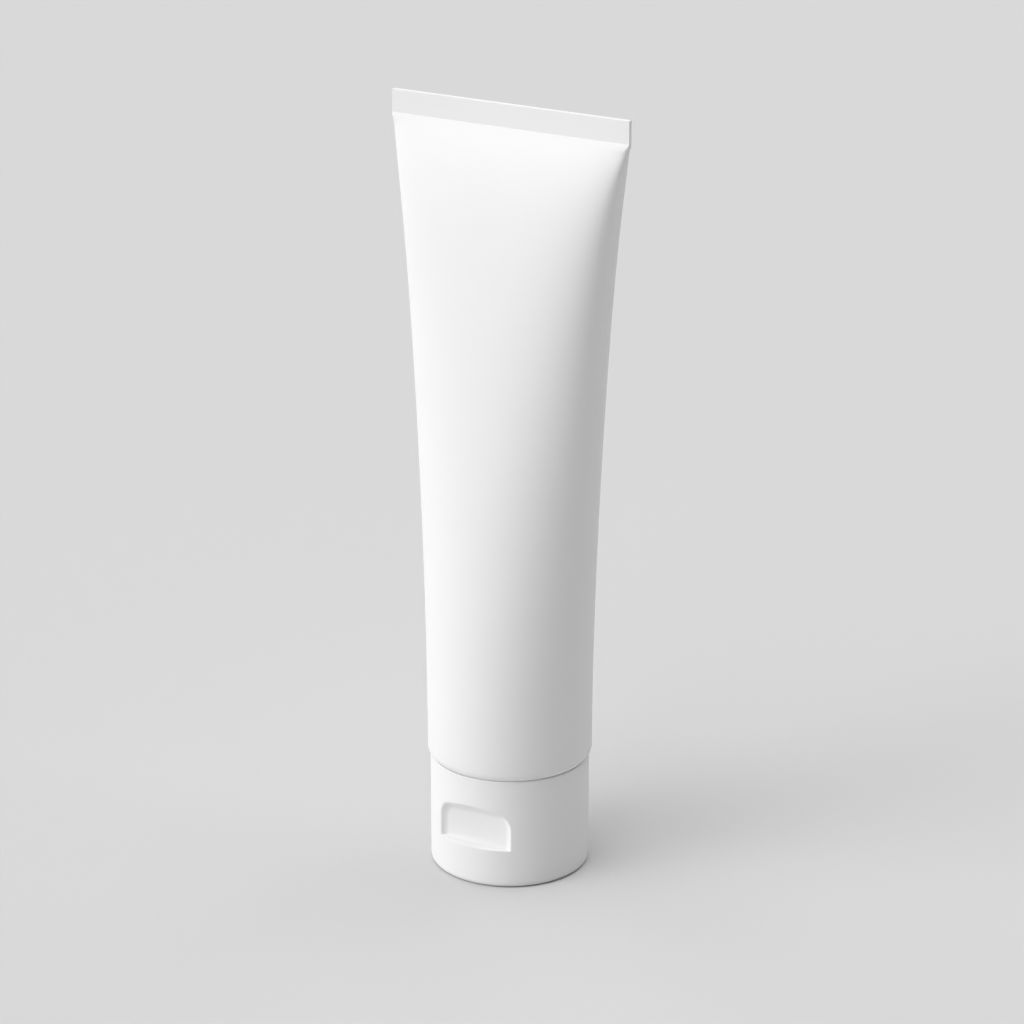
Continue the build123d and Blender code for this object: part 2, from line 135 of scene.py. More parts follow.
def make_piece(name, grids, loop_rows=False, crisp=30.0):
    """Smooth object in metres from grids in millimetres, with edges of more than crisp degrees kept sharp."""
    vertices, faces, start = [], [], 0
    for points in grids:
        own, whole, triangles = weld_grid(points, loop_rows)
        vertices.append(own)
        faces += (whole + start).tolist() + (triangles + start).tolist()
        start += len(own)
    mesh = bpy.data.meshes.new(name)
    mesh.from_pydata(np.concatenate(vertices) * MM, [], faces)
    mesh.shade_smooth()
    mesh.set_sharp_from_angle(angle=math.radians(crisp))
    piece = bpy.data.objects.new(name, mesh)
    bpy.context.scene.collection.objects.link(piece)
    mesh.calc_loop_triangles()
    print(name, "has", len(mesh.vertices), "vertices and", len(mesh.loop_triangles), "triangles")
    return piece


def box_mm(node):
    """Lowest and highest corner of a CAD node, in millimetres."""
    low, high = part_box(node)
    return np.array(low) / MM, np.array(high) / MM


# %% [markdown]
# ## Sleeve
#
# The real sleeve is an extruded pipe of film, 0.42 mm thick. Its end is pressed flat between two jaws and
# welded, and the film hardly stretches, so as the tube gets flatter it gets wider. The CAD sections are plain
# ellipses. On the real tube the front is flatter than that and the sides are rounder, more so towards the
# weld, where the section ends as a strip of two walls. Light shows this at once, as a broad even front and a
# dark side that starts as a wedge under the corner of the weld. A subdivided cage could be pushed into that
# form by eye. Here depth and fullness are formulas in the height, and the width is what keeps the outline
# that the camera sees, so seen from the front this sleeve is up to 1.6 mm narrower than the CAD's.

# %% Sleeve: sizes
sleeve_low, sleeve_high = box_mm("tube_sleeve")
SLEEVE_RADIUS = (sleeve_high[1] - sleeve_low[1]) / 2
SLEEVE_TOP = sleeve_high[2]
WALL = 0.42
SEAL_HEIGHT = 4.1
SEAL_BOTTOM = SLEEVE_TOP - SEAL_HEIGHT
EDGE_RADIUS = 2.0
EDGE_TOP = 22.623
BAND_TOP = EDGE_TOP + 1.6
SHOULDER_SLOPE = math.radians(35)
TURNED_IN = 2.2
print("sleeve radius", round(SLEEVE_RADIUS, 3))
print("seal from", round(SEAL_BOTTOM, 3), "to", round(SLEEVE_TOP, 3))

# %% Sleeve: depth, outline, fullness and width at a height
CAD_FALL = (0.70, 1.80, 8.4)
FILM_FALL = (0.71, 1.73, 13.0)
NEAR_SEAL = 0.9999


def share_at(level):
    """0 at the round band, 1 at the seal."""
    return np.clip((level - BAND_TOP) / (SEAL_BOTTOM - BAND_TOP), 0, 1)


def half_depth(level, fall):
    """Half the depth at a height: the radius, less g t^p + (1 - g) t^s of the way down to one wall.

    The first part is the long taper of the tube, the second is the quick closing just under the weld.
    """
    gentle, slow, quick = fall
    share = share_at(level)
    return SLEEVE_RADIUS - (SLEEVE_RADIUS - WALL) * (gentle * share**slow + (1 - gentle) * share**quick)


def girth_width(depth):
    """Half width of the ellipse that keeps the girth.

    It solves depth^p + width^p = (pi r / 2)^p with p = ln 2 / ln(pi / 2).
    """
    power = math.log(2) / math.log(math.pi / 2)
    return ((math.pi * SLEEVE_RADIUS / 2) ** power - depth**power) ** (1 / power)


def fullness(level):
    """Power n of the section |x/a|^n + |y/b|^n = 1: an ellipse's 2 at the band, plus t^3 / (1 - t)^0.27."""
    share = np.minimum(share_at(level), NEAR_SEAL)
    return 2 + share**3 / (1 - share) ** 0.27


def film_width(level, depth, power):
    """Half width with which the section, seen from the camera, reaches as far to the side as the CAD's.

    A section reaches ((a cos)^q + (b sin)^q)^(1/q) in a direction, with q = n / (n - 1). An ellipse's q is 2.
    """
    along, across = math.cos(AZIMUTH), math.sin(AZIMUTH)
    cad_depth = half_depth(level, CAD_FALL)
    reach = np.hypot(girth_width(cad_depth) * along, cad_depth * across)
    q = power / (power - 1)
    return (reach**q - (depth * across) ** q) ** (1 / q) / along


SEAL_WIDTH = girth_width(WALL)
for level in (30, 80, 120, SEAL_BOTTOM):
    depth, power = half_depth(level, FILM_FALL), fullness(level)
    width = film_width(level, depth, power)
    print("height", round(level, 1), "width", round(2 * width, 2), "depth", round(2 * depth, 2),
          "n", round(power, 2))


# %% Sleeve: sections with evenly spaced girth
FINE_STEPS = 1201


def lens_quarter(width, depth, power, places):
    """Quarters of the sections, one per row, with points at the given shares of their own length.

    An angle is stepped finely in x = a cos^(2/n), y = b sin^(2/n), the chord lengths are summed, and the
    angle at each share is looked up. Adding twice the row number to both sides lets one look-up serve all
    the rows.
    """
    fine = np.linspace(0, math.pi / 2, FINE_STEPS)

    def at(angle):
        return width * np.maximum(np.cos(angle), 0) ** (2 / power), depth * np.sin(angle) ** (2 / power)

    x, y = at(fine)
    walked = np.cumsum(np.hypot(np.diff(x), np.diff(y)), axis=1)
    walked = np.insert(walked, 0, 0, axis=1) / walked[:, -1:]
    shift = 2.0 * np.arange(len(width))[:, None]
    angle = np.interp((places + shift).ravel(), (walked + shift).ravel(), np.tile(fine, len(width)))
    x, y = at(angle.reshape(len(width), -1))
    x[:, -1] = 0
    return x, y


def strip_quarter(width, depth, places):
    """Quarter of the welded strip: up its end face and then along its flat, at shares of that length."""
    walked = places * (width + depth)
    return width - np.maximum(walked - depth, 0), np.minimum(walked, depth)


def ring(x, y):
    """Whole section from its quarter, by mirroring it left to right and front to back."""
    around_x = [x, -x[:, -2::-1], -x[:, 1:], x[:, -2:0:-1]]
    around_y = [y, y[:, -2::-1], -y[:, 1:], -y[:, -2:0:-1]]
    return np.concatenate(around_x, axis=1), np.concatenate(around_y, axis=1)


def sections(rows):
    """Points of sections from rows of width, depth, power, height and squareness.

    Squareness is 0 in the lens and 1 in the strip, and mixes the two quarters between them.
    """
    width, depth, power, level, squareness = (rows[:, k, None] for k in range(5))
    width = width + squareness * (SEAL_WIDTH - width)
    lens_x, lens_y = lens_quarter(width, depth, power, GIRTH_PLACES)
    strip_x, strip_y = strip_quarter(width, depth, GIRTH_PLACES)
    x, y = ring(lens_x + squareness * (strip_x - lens_x), lens_y + squareness * (strip_y - lens_y))
    return np.stack([x, y, np.broadcast_to(level, x.shape)], axis=-1)


seal_corner = WALL / (SEAL_WIDTH + WALL)
GIRTH_PLACES = np.concatenate([
    np.linspace(0, seal_corner, 4),
    seal_corner + (1 - seal_corner) * np.linspace(0, 1, 56)[1:] ** 1.15,
])
print("points round the girth:", 4 * (len(GIRTH_PLACES) - 1))

# %% Sleeve: its rows, inside and outside
SQUARING = 2.4
SEAL_EDGE = 0.05


def edge_rows(inset, reach=TURNED_IN):
    """Rows down the shoulder's edge: the end of the band, an arc, then the slope, reach further in."""
    turn = np.linspace(0, math.pi / 2 - SHOULDER_SLOPE, 9)
    centre = SLEEVE_RADIUS - EDGE_RADIUS
    radius = centre + (EDGE_RADIUS - inset) * np.cos(turn)
    height = EDGE_TOP - (EDGE_RADIUS - inset) * np.sin(turn)
    radius = np.append(radius, radius[-1] - reach)
    height = np.append(height, height[-1] - reach * math.tan(SHOULDER_SLOPE))
    return np.column_stack([radius, radius, np.full(10, 2.0), height, np.zeros(10)])


def wall_rows(inset, top, count):
    """Rows up the flattening wall, closer together near its top, where the lens is eased into the strip."""
    level = BAND_TOP + (top - BAND_TOP) * (1 - (1 - np.linspace(0, 1, count)) ** 1.7)
    depth, power = half_depth(level, FILM_FALL), fullness(level)
    eased = np.clip((level - (SEAL_BOTTOM - SQUARING)) / SQUARING, 0, 1)
    squareness = (eased * eased * (3 - 2 * eased)) ** 2 if inset == 0 else np.zeros(count)
    width = film_width(level, depth, power)
    return np.column_stack([width - inset, depth - inset, power, level, squareness])


def seal_rows(heights, inset=0.0):
    """Rows of the welded strip."""
    strip = np.array([[SEAL_WIDTH, WALL - inset, 2.0, 0.0, 1.0]])
    return strip + np.array([0, 0, 0, 1.0, 0]) * (SEAL_BOTTOM + np.atleast_1d(heights))[:, None]


sleeve_rows = np.vstack([
    wall_rows(WALL, SEAL_BOTTOM - 2 * WALL, 60)[::-1],
    edge_rows(WALL),
    edge_rows(0)[::-1],
    wall_rows(0, SEAL_BOTTOM, 170),
    seal_rows([0.12, 0.3, 0.8, 2.0, 3.3, SEAL_HEIGHT - 0.2, SEAL_HEIGHT - SEAL_EDGE]),
    seal_rows(SEAL_HEIGHT, SEAL_EDGE),
])
sleeve_points = sections(sleeve_rows)
to_middle = np.array([1.0, 0.0, 1.0])
sleeve_points = np.concatenate([sleeve_points[:1] * to_middle, sleeve_points, sleeve_points[-1:] * to_middle])
sleeve = make_piece("sleeve_film", [sleeve_points])
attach(sleeve, "tube")
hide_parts("tube_sleeve")

# %% [markdown]
# ## Cream
#
# The cream fills the neck, the shoulder and the sleeve up to its level, and what shows of it is the disc
# behind the orifice when the lid is open. It could stay the CAD solid, but the sleeve is narrower in places
# than its CAD ellipses, and the solid would poke through, so the cream is made from the sleeve's own
# sections, drawn in by the wall and a hair more.

# %% Cream: the sleeve's sections, drawn in
CREAM_GAP = 0.1
HEAD_WALL = 1.2
HEAD_INSET = WALL + HEAD_WALL + CREAM_GAP
NECK_BORE = 4.5
cream_low, cream_high = box_mm("adhesive_cream")

in_sleeve = wall_rows(WALL + CREAM_GAP, cream_high[2], 50)
slope_run = edge_rows(HEAD_INSET)[-2, 0] - (NECK_BORE - CREAM_GAP)
in_head = edge_rows(HEAD_INSET, slope_run)
in_neck = in_head[-1:].copy()
in_neck[:, 3] = cream_low[2]
shelf = in_head[:1].copy()
shelf[:, 3] = BAND_TOP
cream_points = sections(np.vstack([in_neck, in_head[::-1], shelf, in_sleeve]))
to_axis = np.array([0.0, 0.0, 1.0])
cream_points = np.concatenate([cream_points[:1] * to_axis, cream_points, cream_points[-1:] * to_axis])
cream = make_piece("cream_fill", [cream_points])
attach(cream, "tube")
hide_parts("adhesive_cream")

# %% [markdown]
# ## Plan of the cap
#
# Seen from above, every level of the cap is a circle, cut by a straight line at the back, where the hinge
# needs a flat, and inside the lid by another in front, where the thumb ledge is. Both shells are a profile
# carried round that plan. The plan is walked in four stretches, front, right, back and left, with a fixed
# number of steps in each, so that a corner lies on the same column at every level. The front stretch reaches
# 8.2 mm to either side, a little past the thumb recess.

# %% Carry a profile round the plan
FREE = np.inf
FRONT_REACH = 8.2
CORNER_HOLD = 0.004
BACK_HOLD = 0.02
cap_low, cap_high = box_mm("cap_base")
CAP_RADIUS = (cap_high[0] - cap_low[0]) / 2
CAP_TOP = cap_high[2]
BACK_FLAT = box_mm("cap_hinge")[0][1]
FRONT_SHARE = FRONT_REACH / CAP_RADIUS
BACK_SHARE = math.sqrt(1 - (BACK_FLAT / CAP_RADIUS) ** 2)


def stretch(count, hold):
    """Steps from 0 to 1 with one extra step close to either end, which keeps a corner tight."""
    return np.concatenate([[0, hold], np.linspace(0, 1, count)[1:-1], [1 - hold]])


def carry(profile, front_count, side_count, back_count):
    """Points from profile rows of radius, front, back and height, in which front or back may be FREE.

    In the front and back stretches x runs evenly along the chord and y is the lesser of the chord's distance
    and the circle's. In the side stretches the angle runs evenly between the ends of the two chords.
    """
    radius, front, back, height = (profile[:, k, None] for k in range(4))
    front_half = np.where(front < radius, np.sqrt(np.maximum(radius**2 - front**2, 0)), radius * FRONT_SHARE)
    back_half = np.where(back < radius, np.sqrt(np.maximum(radius**2 - back**2, 0)), radius * BACK_SHARE)
    size = np.maximum(radius, 1e-9)
    first = -np.arccos(front_half / size)
    last = np.arccos(back_half / size)
    front_x = front_half * (2 * stretch(front_count, CORNER_HOLD) - 1)
    front_y = -np.minimum(front, np.sqrt(np.maximum(radius**2 - front_x**2, 0)))
    right = first + (last - first) * stretch(side_count, CORNER_HOLD)
    back_x = back_half * (1 - 2 * stretch(back_count, BACK_HOLD))
    back_y = np.minimum(back, np.sqrt(np.maximum(radius**2 - back_x**2, 0)))
    left = math.pi - last + (last - first) * stretch(side_count, CORNER_HOLD)
    x = np.concatenate([front_x, radius * np.cos(right), back_x, radius * np.cos(left)], axis=1)
    y = np.concatenate([front_y, radius * np.sin(right), back_y, radius * np.sin(left)], axis=1)
    return np.stack([x, y, np.broadcast_to(height, x.shape)], axis=-1)


def level_rows(radius, front, back, heights):
    """Profile rows that go straight up or down."""
    heights = np.atleast_1d(heights)
    return np.column_stack([np.full(len(heights), value) for value in (radius, front, back)] + [heights])


def arc_rows(centre_radius, centre_height, size, start, end, count=7, back=FREE):
    """Profile rows round an arc, with the angle counted from straight out and turning upwards."""
    angle = np.radians(np.linspace(start, end, count))
    radius = centre_radius + size * np.cos(angle)
    height = centre_height + size * np.sin(angle)
    return np.column_stack([radius, np.full(count, FREE), np.full(count, back), height])


print("cap radius", round(CAP_RADIUS, 3), "flat back at", round(BACK_FLAT, 3))

# %% [markdown]
# ## Lid
#
# The lid is a shallow cup that the whole tube stands on. It has a flat floor, a thick front wall whose top is
# the ledge that the thumb pushes, a ring, and a hollow plug that closes the orifice. It could be lathed and
# then cut, but one profile that goes from the centre of the foot, over the rim and in to the plug's bore
# gives a single closed skin. The radius at the foot is 1 mm, a little more than the CAD's 0.7 mm, because the
# outline turns in that early, and because it makes the dark line where the cap meets the floor. The parting
# line is drawn nearly shut, because none can be seen.

# %% Lid: profile and mesh
HINGE_Y, PARTING = np.array(frame["joints"][0]["pos_m"][1:]) / MM
HALF_GAP = 0.003
LID_TOP = PARTING - HALF_GAP
CAP_WALL = 1.2
FOOT_RADIUS = 1.0
LID_FLOOR = 1.3
LEDGE_BACK = 11.45
RELIEF = 0.5
BORE = CAP_RADIUS - CAP_WALL
BACK_WALL = BACK_FLAT - CAP_WALL
NOZZLE_TIP = cap_low[2]
RING_OUTER = 4.4
RING_INNER = 3.7
RING_TOP = NOZZLE_TIP + 0.4
PLUG_RADIUS = 1.75
PLUG_BORE = 0.8
PLUG_TOP = NOZZLE_TIP + 1.5
PLUG_BORE_END = NOZZLE_TIP - 1.7
cup = np.array([BORE, LEDGE_BACK, BACK_WALL])

foot = arc_rows(CAP_RADIUS - FOOT_RADIUS, FOOT_RADIUS, FOOT_RADIUS, -90, 0, 8, BACK_FLAT)
foot[0, 2] = BACK_FLAT - 0.12
lid_profile = np.vstack([
    level_rows(0, FREE, FREE, 0),
    foot,
    level_rows(CAP_RADIUS, FREE, BACK_FLAT, np.linspace(FOOT_RADIUS, PARTING - RELIEF, 8)[1:]),
    level_rows(CAP_RADIUS, FREE, BACK_FLAT - RELIEF, LID_TOP),
    level_rows(*(cup + 0.08), LID_TOP),
    level_rows(*cup, [LID_TOP - 0.08, 5.0, 3.0, LID_FLOOR + 0.25]),
    level_rows(*(cup - 0.07), LID_FLOOR + 0.07),
    level_rows(*(cup - 0.25), LID_FLOOR),
    level_rows(RING_OUTER + 0.2, FREE, FREE, LID_FLOOR),
    level_rows(RING_OUTER, FREE, FREE, [LID_FLOOR + 0.2, RING_TOP - 0.1]),
    level_rows(RING_OUTER - 0.1, FREE, FREE, RING_TOP),
    level_rows(RING_INNER + 0.1, FREE, FREE, RING_TOP),
    level_rows(RING_INNER, FREE, FREE, [RING_TOP - 0.1, LID_FLOOR + 0.15]),
    level_rows(RING_INNER - 0.15, FREE, FREE, LID_FLOOR),
    level_rows(2.45, FREE, FREE, LID_FLOOR),
    level_rows(2.25, FREE, FREE, LID_FLOOR + 0.15),
    level_rows(PLUG_RADIUS, FREE, FREE, [NOZZLE_TIP - 0.2, NOZZLE_TIP]),
    level_rows(1.49, FREE, FREE, PLUG_TOP - 0.15),
    level_rows(1.38, FREE, FREE, PLUG_TOP - 0.03),
    level_rows(1.28, FREE, FREE, PLUG_TOP),
    level_rows(0.86, FREE, FREE, PLUG_TOP),
    level_rows(PLUG_BORE, FREE, FREE, [PLUG_TOP - 0.06, PLUG_BORE_END]),
    level_rows(0, FREE, FREE, PLUG_BORE_END),
])
lid = make_piece("lid_shell", [carry(lid_profile, 61, 61, 21)])
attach(lid, "lid")
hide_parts("cap_lid")

# %% [markdown]
# ## Thumb recess
#
# The recess is a shallow scoop with a flat floor, sides that flare out, two rounded upper corners and an open
# bottom, where the lid's ledge is. On the mould it is one block pressed into a cylinder, and a boolean would
# cut it just so, but its edges would be razor sharp and its faces ragged. Here every point of the wall asks
# how deep the recess is where it stands, and the wall takes the deeper of cylinder and recess, eased into
# each other over a fraction of a millimetre. That gives the soft lips of a moulded part. The sides and the
# top of the recess are hollowed, steep at the lip and flat at the floor, which is why their shade fades
# inwards.

# %% Recess: which outline runs through a point
RECESS_DEPTH = 2.55
RECESS_FLOOR = CAP_RADIUS - RECESS_DEPTH
FLOOR_HALF = 6.5
FLOOR_TOP = PARTING + 5.9
SIDE_LEAN = math.radians(55)
TOP_LEAN = math.radians(40)
CORNER_RADIUS = 2.0
CORNER_GROWTH = 0.8
LEVELS = (-1.0, 6.0)
HALVINGS = 30


def recess_level(x, z, wall=0.0):
    """Height above the recess's floor of the outline that runs through (x, z), negative over the floor.

    The outline at a height is a rounded rectangle that grows with it. Whether a point lies outside such a
    rectangle is the length of its overshoot past the corner's centre, less the corner's radius. The height at
    which that passes zero is found by halving an interval thirty times, for all points at once.
    """
    low, high = (np.full(np.broadcast(x, z).shape, end) for end in LEVELS)
    side_growth = wall * math.tan((math.pi / 2 - SIDE_LEAN) / 2)
    top_growth = wall * math.tan((math.pi / 2 - TOP_LEAN) / 2)
    for _ in range(HALVINGS):
        middle = (low + high) / 2
        corner = CORNER_RADIUS + wall / 2 + CORNER_GROWTH * middle
        across = np.abs(x) - (FLOOR_HALF + side_growth + math.tan(SIDE_LEAN) * middle) + corner
        upward = z - (FLOOR_TOP + top_growth + math.tan(TOP_LEAN) * middle) + corner
        overshoot = np.hypot(np.maximum(across, 0), np.maximum(upward, 0))
        outside = overshoot + np.minimum(np.maximum(across, upward), 0) > corner
        low, high = np.where(outside, middle, low), np.where(outside, high, middle)
    return high


def eased_max(difference, width, x, z):
    """Greater of 0 and a difference, rounded where the two cross: max(d, 0) + max(k - |d|, 0)^2 / 4k.

    k is the rounding's width in the plane times the slope of the difference there, so that the rounding is as
    wide along the sides as along the top.
    """
    slope_z, slope_x = np.gradient(difference, z, x)
    k = np.maximum(width * np.hypot(slope_x, slope_z), 1e-6)
    return np.maximum(difference, 0) + np.maximum(k - np.abs(difference), 0) ** 2 / (4 * k)


print("recess floor", round(RECESS_FLOOR, 3), "from the axis, its top edge at", round(FLOOR_TOP, 3))

# %% [markdown]
# ## Base of the cap
#
# The base is pressed onto the neck. Its skirt is the wall that the photograph shows, its deck carries the
# nozzle, and a rim under the deck keys into the lid. All of that is one moulding, so it is one closed loop
# here too: down the orifice, round the nozzle, out under the deck, round the rim, up the outside with its
# recess, over the upper edge, and back in to the collar that grips the neck. The upper edge is 0.1 mm lower
# and a little rounder than the CAD's, which gives the dark line above it its width.

# %% Base: profile
CAD_DECK_BOTTOM = PARTING + 0.025
DECK_BOTTOM = PARTING + HALF_GAP
DECK_TOP = CAD_DECK_BOTTOM + 1.3
FLAT_TOP = 15.625
RIM_LOW = CAD_DECK_BOTTOM - 1.2
RIM_CHAMFER = 0.08
UPPER_EDGE = 0.25
SKIRT_TOP = CAP_TOP - 0.1
COLLAR_TOP = 14.28
COLLAR_BORE = 6.05
GROOVE = 11.25
SPIGOT_TOP = DECK_TOP + 1.4

foot_heights = PARTING + RELIEF * np.linspace(0, 1, 9)[1:-1] ** 2
wall_heights = np.concatenate([
    [DECK_BOTTOM], foot_heights, np.linspace(PARTING + RELIEF, 15.5, 97), [FLAT_TOP - 0.02],
])
outside_profile = np.vstack([
    level_rows(CAP_RADIUS, FREE, BACK_FLAT, wall_heights),
    level_rows(CAP_RADIUS, FREE, FREE, FLAT_TOP),
    level_rows(CAP_RADIUS, FREE, FREE, np.linspace(16.2, SKIRT_TOP - UPPER_EDGE, 8)),
])
relieved = np.clip((wall_heights - PARTING) / RELIEF, 0.03, 1)
outside_profile[:len(relieved), 2] = BACK_FLAT - RELIEF * (1 - relieved)
nozzle_profile = np.vstack([
    level_rows(1.8, FREE, FREE, [DECK_TOP, NOZZLE_TIP + 0.12]),
    level_rows(1.84, FREE, FREE, NOZZLE_TIP + 0.03),
    level_rows(1.92, FREE, FREE, NOZZLE_TIP),
    arc_rows(2.47, NOZZLE_TIP + 0.35, 0.35, -90, -8, 7),
    arc_rows(3.54, DECK_BOTTOM - 0.25, 0.25, 172, 90, 5),
])
rim_inside = np.array([12.25, 10.40, BACK_WALL - 1.05])
rim_outside = np.array([13.15, 11.15, BACK_WALL - 0.15])
rim_profile = np.vstack([
    level_rows(*rim_inside, [DECK_BOTTOM, RIM_LOW + RIM_CHAMFER]),
    level_rows(*(rim_inside + RIM_CHAMFER), RIM_LOW),
    level_rows(*(rim_outside - RIM_CHAMFER), RIM_LOW),
    level_rows(*rim_outside, [RIM_LOW + RIM_CHAMFER, RIM_LOW + 0.25, RIM_LOW + 0.5, DECK_BOTTOM]),
])
inside_profile = np.vstack([
    arc_rows(CAP_RADIUS - UPPER_EDGE, SKIRT_TOP - UPPER_EDGE, UPPER_EDGE, 15, 90, 6),
    level_rows(BORE, FREE, FREE, SKIRT_TOP - 1.1),
    level_rows(BORE, FREE, FREE, FLAT_TOP + CAP_WALL),
])
skirt_profile = level_rows(BORE, FREE, BACK_WALL, np.linspace(FLAT_TOP + CAP_WALL, DECK_TOP, 20))
collar_profile = np.vstack([
    level_rows(7.25, FREE, FREE, [DECK_TOP, COLLAR_TOP]),
    level_rows(COLLAR_BORE, FREE, FREE, [COLLAR_TOP, GROOVE + 1.05]),
    level_rows(COLLAR_BORE + 0.35, FREE, FREE, GROOVE + 0.5),
    level_rows(COLLAR_BORE, FREE, FREE, [GROOVE - 0.05, DECK_TOP]),
    level_rows(4.45, FREE, FREE, [DECK_TOP, SPIGOT_TOP]),
    level_rows(3.75, FREE, FREE, [SPIGOT_TOP, DECK_TOP]),
])

# %% Base: press the recess into the wall and make the mesh
COLUMNS = (206, 51, 21)
LIP = 0.24
FLOOR_FILLET = 0.6
FOOT_FILLET = 0.16  # height of the fillet at the recess's foot over the square of the depth there
SNAP_ROW = 5
SNAP_HEIGHT = 0.15
SNAP_REACH = 2.5

outside = carry(outside_profile, *COLUMNS)
front = slice(0, COLUMNS[0] + 1)
front_x = outside[0, front, 0]
heights = outside_profile[:, 3]
circle_y = np.sqrt(CAP_RADIUS**2 - front_x**2)
level = recess_level(front_x, heights[:, None])
raised = eased_max(level, FLOOR_FILLET, front_x, heights)
depth = eased_max(circle_y - (RECESS_FLOOR + raised), LIP, front_x, heights)
fillet = np.maximum(FOOT_FILLET * depth**2, 1e-6)
below = np.clip(1 - (heights[:, None] - DECK_BOTTOM) / fillet, 0, 1)
depth = depth - fillet * (1 - np.sqrt(1 - below**2))
outside[:, front, 1] = depth - circle_y

skirt = carry(skirt_profile, *COLUMNS)
behind = recess_level(skirt[:, front, 0], skirt[:, front, 2], CAP_WALL)
skirt[:, front, 1] = np.maximum(skirt[:, front, 1], -(RECESS_FLOOR - CAP_WALL + behind))

rim = carry(rim_profile, *COLUMNS)
inside_reach = (SNAP_REACH - np.abs(rim[SNAP_ROW, front, 0])) / SNAP_HEIGHT
rim[SNAP_ROW, front, 1] -= SNAP_HEIGHT * np.clip(inside_reach, 0, 1)

base_points = np.concatenate([
    carry(nozzle_profile, *COLUMNS), rim, outside, carry(inside_profile, *COLUMNS), skirt,
    carry(collar_profile, *COLUMNS),
])
base = make_piece("base_shell", [base_points], loop_rows=True)
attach(base, "tube")
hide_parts("cap_base")
print("recess is", round(float(np.max(outside[:, front, 1] + circle_y)), 3), "mm deep at its middle")

# %% [markdown]
# ## Living hinge
#
# Lid and base come out of one mould, joined at the back by three straps: a film strap either side and a
# longer, springy one between them. A thin line across each strap does the bending. The straps have to bend
# when the lid swings, so they are one piece of their own, apart from base and lid.

# %% Hinge straps
THICKNESS = 0.4
THINNING = 0.18
END_ROUND = 0.3
BEND_HALF = 0.2


def strap(centre, width, length):
    """Strap as rounded flat sections stacked in height, thinned from behind along the hinge line.

    A section is a superellipse of exponent 8. Its thickness falls from the full 0.4 mm to 0.22 mm within half
    a millimetre of the line, and its width closes in a quarter circle at either end.
    """
    half = length / 2
    away = np.concatenate([np.linspace(0, 0.6, 13), np.linspace(0.6, half - END_ROUND, 7)[1:]])
    close = half - END_ROUND + END_ROUND * np.sin(np.linspace(0, math.pi / 2, 7)[1:])
    offset = np.concatenate([away, close])
    offset = np.concatenate([-offset[:0:-1], offset])[:, None]
    thin = THINNING * np.clip((0.5 - np.abs(offset)) / 0.25, 0, 1)
    past = np.maximum(np.abs(offset) - (half - END_ROUND), 0) / END_ROUND
    tip = np.sqrt(np.maximum(1 - past**2, 0))
    angle = np.linspace(0, 2 * math.pi, 49)[:-1]
    wide = np.sign(np.cos(angle)) * np.abs(np.cos(angle)) ** 0.25
    deep = np.sign(np.sin(angle)) * np.abs(np.sin(angle)) ** 0.25
    x = centre + (width / 2 - END_ROUND * (1 - tip)) * wide
    thickness = THICKNESS - thin
    y = HINGE_Y - thickness / 2 + thickness / 2 * deep
    points = np.stack(np.broadcast_arrays(x, y, PARTING + offset), axis=-1)
    middle = points.mean(axis=1, keepdims=True)
    ends = [np.broadcast_to(middle[k], points[0].shape)[None] for k in (0, -1)]
    return np.concatenate([ends[0], points, ends[1]])


STRAPS = ((0, 3.6, 6.4), (-3.6, 1.8, 3.4), (3.6, 1.8, 3.4))
straps = make_piece("hinge_straps", [strap(*sizes) for sizes in STRAPS], crisp=50)
below = (0, HINGE_Y * MM, (PARTING - BEND_HALF) * MM)
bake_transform(straps)
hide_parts("cap_hinge")

# %% [markdown]
# ## Finishes
#
# All the visible plastic is plain white and matt, so the finishes differ only in their fine texture.
# Photographs of such plastic would bring one object's stains along, so the texture is built from noise
# instead. To keep the node maths readable, a small class stands for a socket whose value varies over the
# surface, and an ordinary expression such as 1 - mask adds the Math nodes.

# %% Shader helper
class Varying:
    """A socket that varies over a surface. Arithmetic on it adds Math nodes to its finish."""

    def __init__(self, finish, socket):
        self.finish = finish
        self.socket = socket

    def maths(self, operation, *values):
        return self.finish.add("Math", {"operation": operation}, dict(enumerate(values)))

    def __add__(self, other):
        return self.maths("ADD", self, other)

    def __sub__(self, other):
        return self.maths("SUBTRACT", self, other)

    def __rsub__(self, other):
        return self.maths("SUBTRACT", other, self)

    def __mul__(self, other):
        return self.maths("MULTIPLY", self, other)

    __radd__ = __add__
    __rmul__ = __mul__


